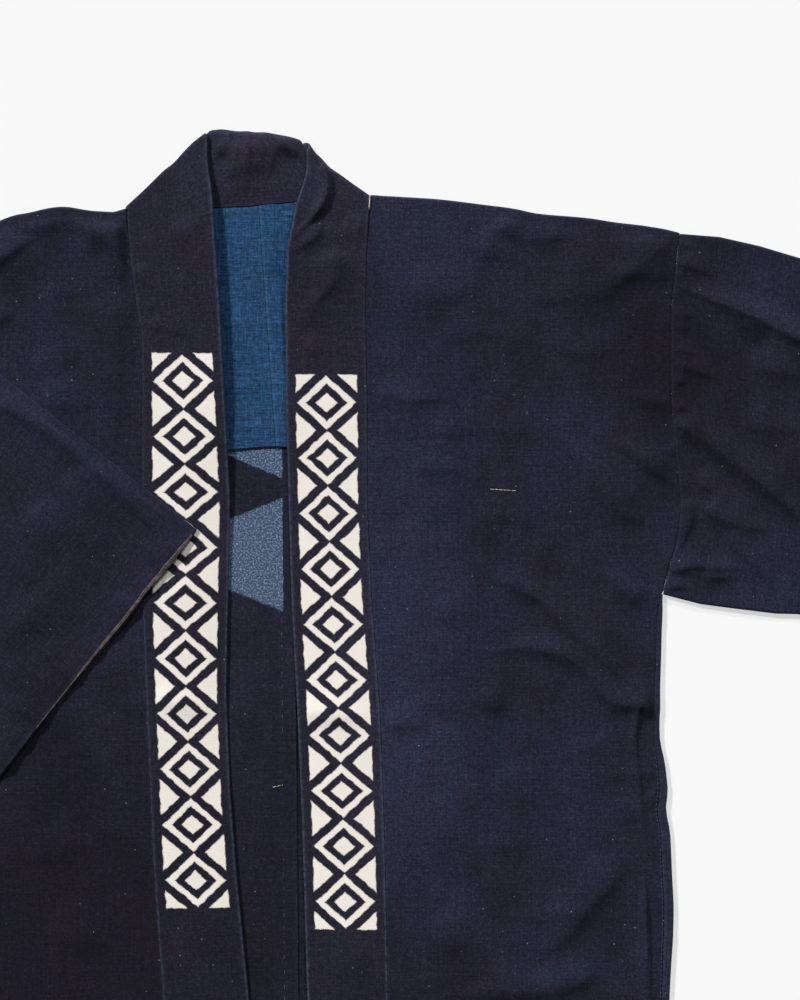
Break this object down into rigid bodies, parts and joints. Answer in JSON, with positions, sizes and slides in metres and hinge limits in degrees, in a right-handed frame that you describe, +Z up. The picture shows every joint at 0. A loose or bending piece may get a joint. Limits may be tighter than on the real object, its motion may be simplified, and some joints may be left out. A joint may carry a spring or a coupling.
{
  "type": "happi coat",
  "caption": "Loose open-fronted cotton coat with a wide collar band, square sleeves and a pale shoulder lining, laid flat with a sleeve folded over its front; worn over other clothes.",
  "frame": {"origin": "on the surface that the coat lies on, in the middle of the coat's box", "axes": "+Z up from the surface, +Y towards the neck, +X towards the wearer's left"},
  "size_m": [1.0056, 0.8712, 0.0134],
  "materials": {
    "indigo_cotton": "plain-woven cotton dyed dark indigo, matt, slightly faded in patches",
    "collar_cotton": "the same indigo cotton, doubled, pale along its worn edges, with a cream resist-dyed design",
    "lining_cotton": "soft plain-woven cotton dyed a mid blue, matt, with a visible weave"
  },
  "bodies": {
    "root": {"body_left": "indigo_cotton", "body_right": "indigo_cotton", "sleeve_left": "indigo_cotton", "sleeve_right": "indigo_cotton", "collar": "collar_cotton", "lining_left": "lining_cotton", "lining_right": "lining_cotton"}
  },
  "joints": []
}
